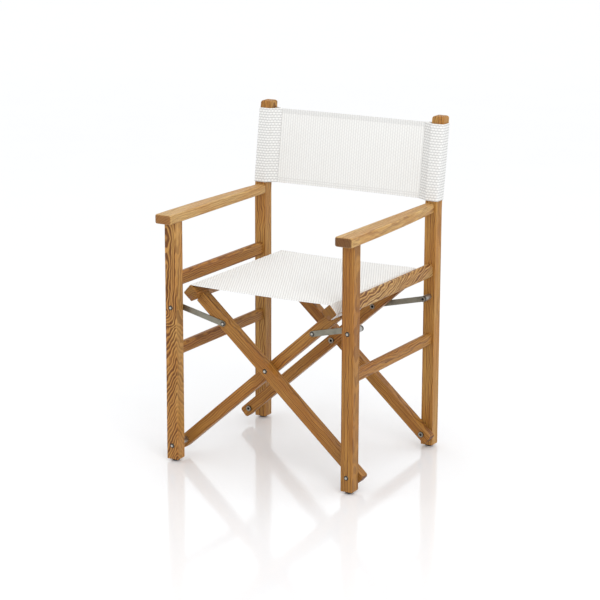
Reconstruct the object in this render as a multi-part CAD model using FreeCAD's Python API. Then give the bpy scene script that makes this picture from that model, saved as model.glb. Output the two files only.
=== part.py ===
import FreeCAD, Part
import os
from math import atan2, cos, degrees, hypot, radians, sin, sqrt, tan
from FreeCAD import Vector

# Folding director chair. Millimetres. X across the chair, +Y to the rear, +Z up, floor at Z = 0.
# Two rigid side frames stand on four glides. A front and a rear pair of crossed slats
# joins them; the slats carry the seat rails, and short links tie the slats to the legs.

# ---- driving dimensions: side frames ----
legs_width = 560.0          # outside of left legs to outside of right legs
legs_depth = 490.0          # front of front legs to back of rear legs
leg_x = 34.0                # leg section across the chair
leg_y = 35.0                # leg section front to back
glide_height = 6.0
glide_radius = 10.5
arm_bottom = 650.0
arm_thick = 25.0
arm_front = 32.0            # armrest overhang ahead of the front leg
arm_inner_front = 6.4       # inward overhang of the armrest over the front leg
arm_outer_front = 10.0      # outward overhang of the armrest over the front leg
arm_outer_rear = -7.0       # the armrest ends inside the outer face of the rear post
post_top = 903.0
lean_start = 668.0          # the rear post leans back above this height
lean_back = 34.0            # how far its top stands behind its foot
upper_rail_z = 493.5
upper_rail_height = 37.0
lower_rail_z = 304.0
lower_rail_height = 33.0
side_rail_width = 20.0
tenon_depth = 12.0
tenon_shoulder = 7.0        # from the rail's upper and lower face to its tenon

# ---- driving dimensions: folding frame ----
slat_width = 31.0
slat_thick = 28.0
slat_foot = 25.0            # slat end beyond its lower bolt
slat_bolt_z = 44.0          # lower bolts, slat to leg
centre_z = 278.0            # bolt where the slats cross
link_bolt_z = 422.0         # upper bolts, link to leg
link_bolt_x = 125.0         # link bolts on the slats, either side of the middle
seat_rail_x = 208.5         # seat rail axis, either side of the middle
seat_rail_side = 32.0
seat_rail_half = 238.0
seat_rail_lift = 5.0        # rail axis above the slat axis, square to the slat
slat_tenon_lift = 10.5      # slat tenon axis above the slat axis, clear of the dowel groove
slat_tenon_half_z = 4.0
slat_tenon_half_y = 8.0
groove_in = 7.8             # canvas groove from the rail axis, back along the slat
groove_down = 8.7           # and down, square to the slat
groove_slot = 3.4
seat_dowel_radius = 6.0
link_thick = 3.0
link_width = 15.0

# ---- driving dimensions: fasteners and gaps ----
face_gap = 0.3              # between faces that turn on each other
slat_gap = 1.6              # between the two crossing slats
running_gap = 0.06          # radial clearance of a sleeve in a turning hole
head_radius = 6.5
head_height = 3.0
bolt_radius = 3.0
sleeve_radius = 4.5
flange_radius = 8.0
flange_thick = 4.0
insert_flange_radius = 7.0
insert_flange_thick = 1.2
socket_flats = 5.0
socket_depth = 4.5
screw_radius = 2.5
screw_head_radius = 5.0
screw_head_height = 3.0
rail_screw_length = 62.0
arm_screw_depth = 40.0
arm_dowel_radius = 5.0
arm_dowel_depth = 25.0      # into the leg
arm_dowel_cover = 8.0       # wood left above it in the armrest
nail_radius = 1.5
nail_depth = 25.0

# ---- driving dimensions: canvas ----
canvas_thick = 1.6
canvas_gap = 0.3
seat_canvas_half = 236.0
back_bottom = 682.0
back_top = 883.0
back_wedge = 27.0           # from the post to the stitch line of its sleeve
back_tip = 3.0              # cloth sewn together at the stitch line

# ---- driving dimensions: rounded edges ----
leg_ease = 2.5
post_ease = 2.0
post_bend = 220.0
post_top_ease = 7.0
side_rail_ease = 8.4
arm_corner = 9.0
arm_ease = 5.0
arm_bow = 3.0               # how far the bow's middle stands in from the outer front corner
arm_bow_place = 0.12        # where along the overhanging front half the bow's middle lies
glide_ease = 2.5
flange_ease = 1.0
slat_end_ease = 8.0
slat_ease = 2.0
seat_rail_ease = 3.0

past = 1.0                  # how far a cutter runs past the face that it cuts
near = 0.01                 # two places closer than this are the same

# ---- derived places ----
half_span = legs_width / 2 - leg_x / 2
leg_front = -legs_depth / 2
leg_back = leg_front + leg_y
slope = atan2(centre_z - slat_bolt_z, half_span)
centre_reach = hypot(half_span, centre_z - slat_bolt_z)
link_reach = centre_reach + link_bolt_x / cos(slope)
rail_reach = centre_reach + seat_rail_x / cos(slope)
link_slat_z = centre_z + link_bolt_x * tan(slope)
link_length = hypot(half_span - link_bolt_x, link_bolt_z - link_slat_z)
lean = lean_back / (post_top - lean_start)

near_link_y = leg_back + face_gap
slat_b_y = near_link_y + link_thick + face_gap
slat_a_y = slat_b_y + slat_thick + slat_gap
far_link_y = slat_a_y - face_gap - link_thick

nodes = {}


def mirror_x(shape):
    return shape.mirror(Vector(0, 0, 0), Vector(1, 0, 0))


def mirror_y(shape):
    return shape.mirror(Vector(0, 0, 0), Vector(0, 1, 0))


def front_and_rear(shape):
    """The same small part at the front and, mirrored, at the rear."""
    return Part.makeCompound([shape, mirror_y(shape)])


def box(x0, x1, y0, y1, z0, z1):
    return Part.makeBox(x1 - x0, y1 - y0, z1 - z0, Vector(x0, y0, z0))


def eased_box(x0, x1, y0, y1, z0, z1, ease):
    """A box with every edge rounded."""
    plain = box(x0, x1, y0, y1, z0, z1)
    return plain.makeFillet(ease, plain.Edges)


def rod_y(radius, y0, y1, x, z):
    return Part.makeCylinder(radius, y1 - y0, Vector(x, y0, z), Vector(0, 1, 0))


def rod_z(radius, z0, z1, x, y):
    return Part.makeCylinder(radius, z1 - z0, Vector(x, y, z0))


def ring_y(outer, inner, y0, y1, x, z):
    return rod_y(outer, y0, y1, x, z).cut(rod_y(inner, y0, y1, x, z))


def prism(points, sweep):
    """A straight prism on a closed outline of (x, y, z) points."""
    corners = [Vector(*point) for point in points]
    outline = Part.makePolygon(corners + corners[:1])
    return Part.Face(outline).extrude(Vector(*sweep))


def bolt_y(y_head, y_tip, radius, x, z):
    """Bolt along +Y turned in one piece: a low domed head ahead of y_head and a plain shank."""
    ball = (head_radius ** 2 + head_height ** 2) / (2 * head_height)
    mid_r = head_radius / 2
    apex = Vector(0, y_head - head_height, 0)
    mid = Vector(mid_r, y_head - head_height + ball - sqrt(ball ** 2 - mid_r ** 2), 0)
    rim = Vector(head_radius, y_head, 0)
    corners = [rim, Vector(radius, y_head, 0), Vector(radius, y_tip, 0), Vector(0, y_tip, 0), apex]
    edges = [Part.Arc(apex, mid, rim).toShape()]
    edges += [Part.LineSegment(a, b).toShape() for a, b in zip(corners, corners[1:])]
    bolt = Part.Face(Part.Wire(edges)).revolve(Vector(0, 0, 0), Vector(0, 1, 0), 360)
    bolt.translate(Vector(x, 0, z))
    return bolt


def hex_y(flats, y0, y1, x, z):
    """A hexagonal prism along Y, for a key socket."""
    corner = flats / sqrt(3)
    angles = [radians(60 * step) for step in range(6)]
    points = [(x + corner * cos(angle), y0, z + corner * sin(angle)) for angle in angles]
    return prism(points, (0, y1 - y0, 0))


def socket_cut(shape, y_face, x, z):
    return shape.cut(hex_y(socket_flats, y_face - socket_depth, y_face, x, z))


# ---- side frames, built on the left and mirrored ----

def side_rail(z, height):
    """Oval rail between front leg and rear post, with a tenon at each end."""
    plain = box(-half_span - side_rail_width / 2, -half_span + side_rail_width / 2,
                leg_back, -leg_back, z - height / 2, z + height / 2)
    long_edges = [e for e in plain.Edges if abs(e.Length + 2 * leg_back) < near]
    body = plain.makeFillet(side_rail_ease, long_edges)
    return body.fuse(rail_tenons(z, height)).removeSplitter()


def rail_tenons(z, height):
    half_thick = side_rail_width / 4
    half_tall = height / 2 - tenon_shoulder
    return box(-half_span - half_thick, -half_span + half_thick,
               leg_back - tenon_depth, -leg_back + tenon_depth, z - half_tall, z + half_tall)


def leg_bores(leg, y0, y1):
    """Holes for the slat bolt and the link bolt, and mortises for the side rails."""
    for z in (slat_bolt_z, link_bolt_z):
        leg = leg.cut(rod_y(bolt_radius, y0 - past, y1 + past, -half_span, z))
    leg = leg.cut(rail_tenons(upper_rail_z, upper_rail_height))
    return leg.cut(rail_tenons(lower_rail_z, lower_rail_height))


def glide_nail(y):
    return rod_z(nail_radius, glide_height / 2, glide_height + nail_depth, -half_span, y)


def front_leg():
    leg = eased_box(-legs_width / 2, -legs_width / 2 + leg_x, leg_front, leg_back,
                    glide_height, arm_bottom, leg_ease)
    leg = leg_bores(leg, leg_front, leg_back)
    leg = leg.cut(arm_dowel())
    return leg.cut(glide_nail((leg_front + leg_back) / 2))


def rear_post():
    """Rear leg and back post in one piece, bent back above the armrest."""
    y_front = -leg_back
    y_rear = -leg_front
    outline = [(-legs_width / 2, y_front, glide_height), (-legs_width / 2, y_front, lean_start),
               (-legs_width / 2, y_front + lean_back, post_top),
               (-legs_width / 2, y_rear + lean_back, post_top),
               (-legs_width / 2, y_rear, lean_start), (-legs_width / 2, y_rear, glide_height)]
    blank = prism(outline, (leg_x, 0, 0))
    bends = [e for e in blank.Edges
             if abs(e.BoundBox.ZMin - lean_start) < near and e.BoundBox.ZLength < near]
    blank = blank.makeFillet(post_bend, bends)
    tops = [e for e in blank.Edges if e.BoundBox.ZMin > post_top - near]
    blank = blank.makeFillet(post_top_ease, tops)
    sides = [e for e in blank.Edges if e.BoundBox.ZLength > 2 * post_top_ease]
    blank = blank.makeFillet(post_ease, sides)
    post = leg_bores(blank, y_front, y_rear).cut(arm_screw())
    return post.cut(glide_nail((y_front + y_rear) / 2))


def arm_dowel():
    return rod_z(arm_dowel_radius, arm_bottom - arm_dowel_depth, arm_bottom + arm_thick - arm_dowel_cover,
                 -half_span, (leg_front + leg_back) / 2)


def arm_screw():
    """Screw through the rear post into the end grain of the armrest, head flush at the rear."""
    z = arm_bottom + arm_thick / 2
    y_rear = -leg_front
    shank = rod_y(screw_radius, -leg_back - arm_screw_depth, y_rear - screw_head_height, -half_span, z)
    head = rod_y(screw_head_radius, y_rear - screw_head_height, y_rear, -half_span, z)
    return head.fuse(shank).removeSplitter()


def armrest():
    """Armrest board: straight inner edge, outer edge bowed and narrowing to the rear."""
    x_in_front = -legs_width / 2 + leg_x + arm_inner_front
    x_in_rear = -legs_width / 2 + leg_x
    x_out_front = -legs_width / 2 - arm_outer_front
    x_out_rear = -legs_width / 2 - arm_outer_rear
    y_front = leg_front - arm_front
    y_rear = -leg_back
    z = arm_bottom
    inner_front = Vector(x_in_front, y_front, z)
    outer_front = Vector(x_out_front, y_front, z)
    outer_middle = Vector(x_out_front + arm_bow, y_front * arm_bow_place, z)
    outer_rear = Vector(x_out_rear, y_rear, z)
    inner_rear = Vector(x_in_rear, y_rear, z)
    outline = Part.Wire([Part.LineSegment(inner_front, outer_front).toShape(),
                         Part.Arc(outer_front, outer_middle, outer_rear).toShape(),
                         Part.LineSegment(outer_rear, inner_rear).toShape(),
                         Part.LineSegment(inner_rear, inner_front).toShape()])
    board = Part.Face(outline).extrude(Vector(0, 0, arm_thick))
    corners = [e for e in board.Edges
               if e.BoundBox.ZLength > arm_thick / 2 and e.BoundBox.YMax < y_front + near]
    board = board.makeFillet(arm_corner, corners)
    rims = [e for e in board.Edges if e.BoundBox.ZLength < near and e.BoundBox.YMin < y_rear - near]
    board = board.makeFillet(arm_ease, rims)
    board = board.cut(arm_dowel())
    return board.cut(arm_screw())


def glide(y):
    """Round plastic foot with a softened lower edge."""
    disc = rod_z(glide_radius, 0, glide_height, -half_span, y)
    rim = [e for e in disc.Edges if e.BoundBox.ZMax < near]
    disc = disc.makeFillet(glide_ease, rim)
    return disc.cut(glide_nail(y))


def glides():
    middle = (leg_front + leg_back) / 2
    return Part.makeCompound([glide(middle), glide(-middle)])


def glide_nails():
    middle = (leg_front + leg_back) / 2
    return Part.makeCompound([glide_nail(middle), glide_nail(-middle)])


def add_pair(name, left_shape):
    """A part of the left side frame and its mirror image on the right."""
    nodes[name + "_left"] = left_shape
    nodes[name + "_right"] = mirror_x(left_shape)


add_pair("front_leg", front_leg())
add_pair("rear_post", rear_post())
add_pair("armrest", armrest())
add_pair("upper_side_rail", side_rail(upper_rail_z, upper_rail_height))
add_pair("lower_side_rail", side_rail(lower_rail_z, lower_rail_height))
add_pair("glides", glides())
add_pair("glide_nails", glide_nails())
add_pair("armrest_dowel", arm_dowel())
add_pair("armrest_screw", arm_screw())


# ---- bolts through the legs: head outside, sleeve nut with a key socket inside ----

def leg_bolt(y_inner, z):
    """Domed bolt from the leg's outer face to the bottom of its nut's key socket."""
    return bolt_y(leg_front, y_inner + flange_thick - socket_depth, bolt_radius, -half_span, z)


def leg_nut(y_inner, z):
    """Sleeve from the leg to y_inner, where its flange starts; the sleeve is the pivot."""
    sleeve = rod_y(sleeve_radius, leg_back, y_inner, -half_span, z)
    flange = rod_y(flange_radius, y_inner, y_inner + flange_thick, -half_span, z)
    rim = [e for e in flange.Edges if abs(e.BoundBox.YMin - y_inner - flange_thick) < near]
    nut = sleeve.fuse(flange.makeFillet(flange_ease, rim)).removeSplitter()
    nut = nut.cut(rod_y(bolt_radius, leg_back, y_inner + flange_thick - socket_depth, -half_span, z))
    return socket_cut(nut, y_inner + flange_thick, -half_span, z)


def leg_spacer(y_end, z):
    return ring_y(flange_radius, sleeve_radius, leg_back, y_end, -half_span, z)


# Inner end of each stack: behind the slat or link that turns on it.
slat_a_inner = slat_a_y + slat_thick + face_gap
slat_b_inner = slat_b_y + slat_thick + face_gap
near_link_inner = near_link_y + link_thick + face_gap
far_link_inner = far_link_y + link_thick + face_gap

nodes["slat_bolts_left"] = front_and_rear(leg_bolt(slat_a_inner, slat_bolt_z))
nodes["slat_nuts_left"] = front_and_rear(leg_nut(slat_a_inner, slat_bolt_z))
nodes["slat_spacers_left"] = front_and_rear(leg_spacer(slat_a_y - face_gap, slat_bolt_z))
nodes["link_bolts_left"] = front_and_rear(leg_bolt(near_link_inner, link_bolt_z))
nodes["link_nuts_left"] = front_and_rear(leg_nut(near_link_inner, link_bolt_z))

nodes["slat_bolts_right"] = mirror_x(front_and_rear(leg_bolt(slat_b_inner, slat_bolt_z)))
nodes["slat_nuts_right"] = mirror_x(front_and_rear(leg_nut(slat_b_inner, slat_bolt_z)))
nodes["slat_washers_right"] = mirror_x(front_and_rear(leg_spacer(slat_b_y - face_gap, slat_bolt_z)))
nodes["link_bolts_right"] = mirror_x(front_and_rear(leg_bolt(far_link_inner, link_bolt_z)))
nodes["link_nuts_right"] = mirror_x(front_and_rear(leg_nut(far_link_inner, link_bolt_z)))
nodes["link_spacers_right"] = mirror_x(front_and_rear(leg_spacer(far_link_y - face_gap, link_bolt_z)))


# ---- folding frame, built flat along the slat and then turned to its slope ----
# Slat coordinates: x from the lower bolt up along the slat, z across its width.

def place_slat(shape):
    """From slat coordinates to the chair: rising to the right from the left lower bolt."""
    placed = shape.copy()
    placed.rotate(Vector(0, 0, 0), Vector(0, 1, 0), -degrees(slope))
    placed.translate(Vector(-half_span, 0, slat_bolt_z))
    return placed


rail_half = seat_rail_side / 2
rail_face = rail_reach - rail_half               # where the slat meets the seat rail
groove_x = rail_reach - groove_in                # canvas dowel, near the rail's lowest corner
groove_z = seat_rail_lift - groove_down


def slat_tenon(y0):
    middle = y0 + slat_thick / 2
    return box(rail_face, rail_face + tenon_depth, middle - slat_tenon_half_y, middle + slat_tenon_half_y,
               slat_tenon_lift - slat_tenon_half_z, slat_tenon_lift + slat_tenon_half_z)


def rail_screw(y0):
    """Screw from the rail's outer face through the tenon into the slat."""
    middle = Vector(rail_reach + rail_half, y0 + slat_thick / 2, slat_tenon_lift)
    shank = Part.makeCylinder(screw_radius, rail_screw_length, middle, Vector(-1, 0, 0))
    head = Part.makeCylinder(screw_head_radius, screw_head_height, middle, Vector(-1, 0, 0))
    return head.fuse(shank).removeSplitter()


def slat(y0, lower_hole, centre_hole):
    """A slat with its lower, centre and link holes and a tenon for the seat rail."""
    bar = box(-slat_foot, rail_face, y0, y0 + slat_thick, -slat_width / 2, slat_width / 2)
    ends = [e for e in bar.Edges if e.BoundBox.XMax < -slat_foot + near and e.BoundBox.YLength > near]
    bar = bar.makeFillet(slat_end_ease, ends)
    rims = [e for e in bar.Edges if e.BoundBox.YLength < near and e.BoundBox.XMin < rail_face - near]
    bar = bar.makeFillet(slat_ease, rims)
    bar = bar.fuse(slat_tenon(y0)).removeSplitter()
    for radius, reach in ((lower_hole, 0), (centre_hole, centre_reach), (sleeve_radius, link_reach)):
        bar = bar.cut(rod_y(radius, y0 - past, y0 + slat_thick + past, reach, 0))
    return bar.cut(rail_screw(y0))


def seat_rail(y0):
    """Square rail across the tops of the front and rear slats, grooved for the canvas dowel."""
    end = seat_rail_half + past
    lowest = seat_rail_lift - rail_half
    rail = eased_box(rail_face, rail_face + seat_rail_side, -seat_rail_half, seat_rail_half,
                     lowest, lowest + seat_rail_side, seat_rail_ease)
    rail = rail.cut(rod_y(seat_dowel_radius, -end, end, groove_x, groove_z))
    rail = rail.cut(box(groove_x - groove_slot / 2, groove_x + groove_slot / 2, -end, end,
                        lowest - past, groove_z))
    for cutter in (slat_tenon(y0), rail_screw(y0)):
        rail = rail.cut(cutter).cut(mirror_y(cutter))
    return rail


def seat_dowel():
    """Dowel that holds the canvas in the groove, a little short of the rail's ends."""
    end = seat_rail_half - past
    return rod_y(seat_dowel_radius, -end, end, groove_x, groove_z)


def link_insert(y0):
    """Threaded sleeve in the slat, flush in front, with its flange and key socket behind."""
    y1 = y0 + slat_thick
    insert = rod_y(sleeve_radius, y0, y1, link_reach, 0)
    y2 = y1 + insert_flange_thick
    insert = insert.fuse(rod_y(insert_flange_radius, y1, y2, link_reach, 0)).removeSplitter()
    return socket_cut(insert, y2, link_reach, 0)


running_hole = sleeve_radius + running_gap
slat_a = slat(slat_a_y, running_hole, sleeve_radius)
slat_b = slat(slat_b_y, running_hole, running_hole)

nodes["slat_front_a"] = place_slat(slat_a)
nodes["slat_rear_a"] = mirror_y(nodes["slat_front_a"])
nodes["slat_front_b"] = mirror_x(place_slat(slat_b))
nodes["slat_rear_b"] = mirror_y(nodes["slat_front_b"])
nodes["seat_rail_right"] = place_slat(seat_rail(slat_a_y))
nodes["seat_rail_left"] = mirror_x(place_slat(seat_rail(slat_b_y)))
nodes["seat_dowel_right"] = place_slat(seat_dowel())
nodes["seat_dowel_left"] = mirror_x(place_slat(seat_dowel()))
nodes["rail_screws_right"] = front_and_rear(place_slat(rail_screw(slat_a_y)))
nodes["rail_screws_left"] = mirror_x(front_and_rear(place_slat(rail_screw(slat_b_y))))
nodes["link_inserts_a"] = front_and_rear(place_slat(link_insert(slat_a_y)))
nodes["link_inserts_b"] = mirror_x(front_and_rear(place_slat(link_insert(slat_b_y))))

# Centre bolts: fixed in the A slats, turning in the B slats.
centre_back = slat_a_y + slat_thick
centre_nut_start = centre_back + flange_thick - socket_depth - past
centre_bolt = bolt_y(slat_b_y - face_gap, centre_nut_start, sleeve_radius, 0, centre_z)
centre_washer = ring_y(flange_radius, sleeve_radius, slat_a_y - slat_gap + face_gap, slat_a_y, 0, centre_z)
centre_nut = rod_y(sleeve_radius, centre_nut_start, centre_back, 0, centre_z).fuse(
    rod_y(flange_radius, centre_back, centre_back + flange_thick, 0, centre_z)).removeSplitter()
centre_nut = socket_cut(centre_nut, centre_back + flange_thick, 0, centre_z)
nodes["centre_bolts"] = front_and_rear(centre_bolt)
nodes["centre_washers"] = front_and_rear(centre_washer)
nodes["centre_nuts"] = front_and_rear(centre_nut)


# ---- links, from the leg's upper bolt to the slat ----

def link(y0):
    """Flat bar with round ends; built from the left leg bolt along +X, then turned."""
    middle = box(0, link_length, y0, y0 + link_thick, -link_width / 2, link_width / 2)
    ends = rod_y(link_width / 2, y0, y0 + link_thick, 0, 0)
    ends = ends.fuse(rod_y(link_width / 2, y0, y0 + link_thick, link_length, 0))
    bar = middle.fuse(ends).removeSplitter()
    for radius, reach in ((running_hole, 0), (bolt_radius, link_length)):
        bar = bar.cut(rod_y(radius, y0 - past, y0 + link_thick + past, reach, 0))
    return place_link(bar)


def place_link(shape):
    placed = shape.copy()
    drop = degrees(atan2(link_bolt_z - link_slat_z, half_span - link_bolt_x))
    placed.rotate(Vector(0, 0, 0), Vector(0, 1, 0), drop)
    placed.translate(Vector(-half_span, 0, link_bolt_z))
    return placed


def link_head(y0):
    """Domed head and short pin at the slat end of a link."""
    return bolt_y(y0, y0 + link_thick, bolt_radius, -link_bolt_x, link_slat_z)


nodes["link_front_left"] = link(near_link_y)
nodes["link_rear_left"] = mirror_y(nodes["link_front_left"])
nodes["link_front_right"] = mirror_x(link(far_link_y))
nodes["link_rear_right"] = mirror_y(nodes["link_front_right"])
nodes["link_heads_left"] = front_and_rear(link_head(near_link_y))
nodes["link_heads_right"] = mirror_x(front_and_rear(link_head(far_link_y)))


# ---- canvas ----

def seat_point(x, z):
    """A point of the right seat rail's section, from the rail's own axes to the chair."""
    reach = rail_reach + x
    across = z + seat_rail_lift
    return (-half_span + reach * cos(slope) - across * sin(slope),
            slat_bolt_z + reach * sin(slope) + across * cos(slope))


def seat_canvas():
    """Sheet drawn flat over both rails, down their outer faces and under to the grooves."""
    inner = rail_half + canvas_gap
    outer = inner + canvas_thick
    tip_x, tip_z = seat_point(inner, inner)
    top_z = tip_z + canvas_thick
    edge_x, edge_z = seat_point(outer, inner)
    top_x = edge_x - (top_z - edge_z) * tan(slope)
    under_x = groove_x - rail_reach + groove_slot
    half = [(top_x, top_z), seat_point(outer, -outer), seat_point(under_x, -outer),
            seat_point(under_x, -inner), seat_point(inner, -inner), (tip_x, tip_z)]
    loop = half + [(-x, z) for x, z in reversed(half)]
    points = [(x, -seat_canvas_half, z) for x, z in loop]
    return prism(points, (0, 2 * seat_canvas_half, 0))


def back_lean(points):
    """A prism that follows the lean of the posts from the canvas's lower to its upper edge."""
    shift = (back_bottom - lean_start) * lean
    outline = [(x, y + shift, back_bottom) for x, y in points]
    tall = back_top - back_bottom
    return prism(outline, (0, tall * lean, tall))


post_middle = (-leg_back - leg_front) / 2
seam_x = -legs_width / 2 + leg_x + back_wedge


def back_sleeve():
    """Canvas loop round the left post, closing to a stitch line on the inner side."""
    loops = []
    for grow, wall in ((canvas_gap + canvas_thick, canvas_thick / 2), (canvas_gap, 0.0)):
        x0 = -legs_width / 2 - grow
        x1 = -legs_width / 2 + leg_x
        y0 = -leg_back - grow
        y1 = -leg_front + grow
        tip = seam_x if wall else seam_x - back_tip
        wedge = [(tip, post_middle - wall), (tip, post_middle + wall)] if wall else [(tip, post_middle)]
        loops.append([(x0, y0), (x1, y0)] + wedge + [(x1, y1), (x0, y1)])
    return back_lean(loops[0]).cut(back_lean(loops[1]))


def back_panel():
    half = -seam_x - canvas_gap
    thick = canvas_thick / 2
    return back_lean([(-half, post_middle - thick), (half, post_middle - thick),
                      (half, post_middle + thick), (-half, post_middle + thick)])


nodes["seat_canvas"] = seat_canvas()
add_pair("back_sleeve", back_sleeve())
nodes["back_panel"] = back_panel()


# ---- origin at the middle of the chair's footprint, on the floor ----

whole = Part.makeCompound(list(nodes.values())).optimalBoundingBox()
to_middle = Vector(0, -(whole.YMin + whole.YMax) / 2, 0)

os.makedirs("parts", exist_ok=True)
for name, shape in nodes.items():
    moved = shape.copy()
    moved.translate(to_middle)
    if not moved.isValid():
        raise ValueError(name + " is not a valid solid")
    moved.exportStep(os.path.join("parts", name + ".step"))

print("nodes", len(nodes), "shift in Y", round(to_middle.y, 3))
print("slope", round(degrees(slope), 3), "centre reach", round(centre_reach, 2),
      "link length", round(link_length, 2), "slat", round(rail_face + slat_foot, 1))
print("box", [round(v, 2) for v in (whole.XMin, whole.XMax, whole.YMin, whole.YMax, whole.ZMin, whole.ZMax)])
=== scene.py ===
from math import atan2, cos, pi, radians, sin

import bpy
import numpy as np
from mathutils import Euler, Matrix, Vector


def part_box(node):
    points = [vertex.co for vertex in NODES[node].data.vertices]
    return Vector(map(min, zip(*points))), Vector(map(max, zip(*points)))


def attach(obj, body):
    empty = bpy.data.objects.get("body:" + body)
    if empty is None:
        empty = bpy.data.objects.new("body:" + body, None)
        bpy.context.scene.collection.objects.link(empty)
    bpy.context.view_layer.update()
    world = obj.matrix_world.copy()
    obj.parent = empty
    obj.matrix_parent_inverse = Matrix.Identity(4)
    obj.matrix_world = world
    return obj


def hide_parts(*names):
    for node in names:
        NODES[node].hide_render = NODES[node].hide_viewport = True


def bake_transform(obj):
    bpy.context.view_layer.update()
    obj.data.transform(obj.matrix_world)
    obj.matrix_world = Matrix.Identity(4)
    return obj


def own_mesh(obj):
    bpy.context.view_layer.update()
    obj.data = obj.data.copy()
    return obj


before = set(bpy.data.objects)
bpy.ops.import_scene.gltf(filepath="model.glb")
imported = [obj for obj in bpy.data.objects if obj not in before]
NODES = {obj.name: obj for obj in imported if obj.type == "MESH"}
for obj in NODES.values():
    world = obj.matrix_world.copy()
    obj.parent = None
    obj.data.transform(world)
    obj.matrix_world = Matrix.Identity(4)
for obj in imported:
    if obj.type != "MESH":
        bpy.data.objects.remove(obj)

# Looks of a folding director chair: oiled timber, coated mesh canvas, steel links and bolts.
# Metres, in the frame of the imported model: X across the chair, +Y to the rear, +Z up.

bl_info = {
    "name": "Director Chair Looks",
    "version": (1, 0, 0),
    "blender": (4, 5, 0),
    "location": "3D Viewport > Sidebar > Chair",
    "description": "Timber, canvas, fittings and studio of a folding director chair",
    "category": "Object",
}

MM = 0.001


# ---- places taken from the frame ----

def middle(node):
    """Middle of a CAD node's box."""
    low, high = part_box(node)
    return (low + high) / 2


def size(node):
    """Extent of a CAD node's box."""
    low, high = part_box(node)
    return high - low


PIVOT = middle("slat_nuts_right")                   # lower bolt of slat and right legs
CENTRE = middle("centre_bolts")                     # where the slats cross
RAIL = middle("seat_rail_right")                    # axis of the right seat rail
SLOPE = atan2(CENTRE.z - PIVOT.z, PIVOT.x)          # how steeply the slats rise
POST_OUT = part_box("rear_post_left")[0].x            # outer face of the left post
SEAM = -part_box("back_sleeve_left")[1].x             # seams between sleeves and panel, from the middle
PANEL_LOW, PANEL_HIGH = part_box("back_panel")

CLEAR = 0.3 * MM                # between the seat rails and their cloth
RAIL_EASE = 3 * MM              # radius of the seat rails' long edges
GROOVE_BACK = 7.8 * MM          # canvas groove from the rail's axis, back along the slat
GROOVE_DEPTH = 9 * MM           # where the cloth ends in the groove, below the rail's axis
LIP = 2 * MM                    # radius of the cloth's bend at the groove's mouth
SLEEVE_CORNER = 4.5 * MM        # radius of the sleeves' corners in plan
RIB_HEIGHT = 0.3 * MM           # how far the sleeves' ribs stand up and down
STITCH_INSET = 2.2 * MM         # sleeve stitches from the seam, towards the post
STITCH_STAND = 1.35 * MM        # and outside the cloth's middle at the seam
TURN_STEPS = 7                  # points of an arc, unless told otherwise
FLOOR_REACH = 12.0              # half the floor's width
SOCKET_SHADE_RADIUS = 3.5 * MM           # radius of the painted shade, near black, in the key sockets of nuts and inserts
STITCH_SHARE = 0.72             # a stitch's share of the stitch pitch
STITCH_WIDTH = 0.7 * MM
STITCH_LIFT = 0.3 * MM          # how proud a stitch stands


# ---- settings ----

class TimberSettings(bpy.types.PropertyGroup):
    ring_pitch: bpy.props.FloatProperty(
        name="Ring pitch", description="Width of one year's growth", default=4.6 * MM,
        unit="LENGTH", subtype="DISTANCE")
    bold_pitch: bpy.props.FloatProperty(
        name="Bold ring pitch", description="Width of a stripe on the strongly figured pieces",
        default=6.4 * MM, unit="LENGTH", subtype="DISTANCE")
    wander: bpy.props.FloatProperty(
        name="Wander", description="How far plain grain wanders sideways", default=9.0 * MM,
        unit="LENGTH", subtype="DISTANCE")
    bold_wander: bpy.props.FloatProperty(
        name="Bold wander", description="How far the grain of the strongly figured pieces wanders",
        default=14.0 * MM, unit="LENGTH", subtype="DISTANCE")
    leg_light: bpy.props.FloatVectorProperty(
        name="Leg, light wood", description="Early wood of legs and slats",
        default=(0.46, 0.222, 0.046), size=3, subtype="COLOR")
    leg_dark: bpy.props.FloatVectorProperty(
        name="Leg, dark wood", description="Late wood of legs and slats",
        default=(0.185, 0.070, 0.013), size=3, subtype="COLOR")
    post_light: bpy.props.FloatVectorProperty(
        name="Post, light wood", description="Early wood of the rear posts",
        default=(0.54, 0.29, 0.072), size=3, subtype="COLOR")
    bold_light: bpy.props.FloatVectorProperty(
        name="Bold, light wood", description="Cream stripes of the strongly figured pieces",
        default=(0.60, 0.33, 0.095), size=3, subtype="COLOR")
    arm_light: bpy.props.FloatVectorProperty(
        name="Armrest, light wood", description="Early wood of the armrests",
        default=(0.66, 0.43, 0.165), size=3, subtype="COLOR")
    arm_dark: bpy.props.FloatVectorProperty(
        name="Armrest, dark wood", description="Late wood of the armrests",
        default=(0.37, 0.19, 0.065), size=3, subtype="COLOR")
    post_tops: bpy.props.FloatVectorProperty(
        name="Post tops", description="Colour that the rounded tops of the posts are multiplied by",
        default=(1.0, 0.96, 0.90), size=3, subtype="COLOR")
    rail_ends: bpy.props.FloatVectorProperty(
        name="Seat rail ends", description="Colour that the seat rails' ends are multiplied by",
        default=(0.66, 0.66, 0.62), size=3, subtype="COLOR")
    cut_ends: bpy.props.FloatVectorProperty(
        name="Cut ends", description="Colour that cut ends are multiplied by, as they drink the oil",
        default=(0.46, 0.34, 0.26), size=3, subtype="COLOR")


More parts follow.
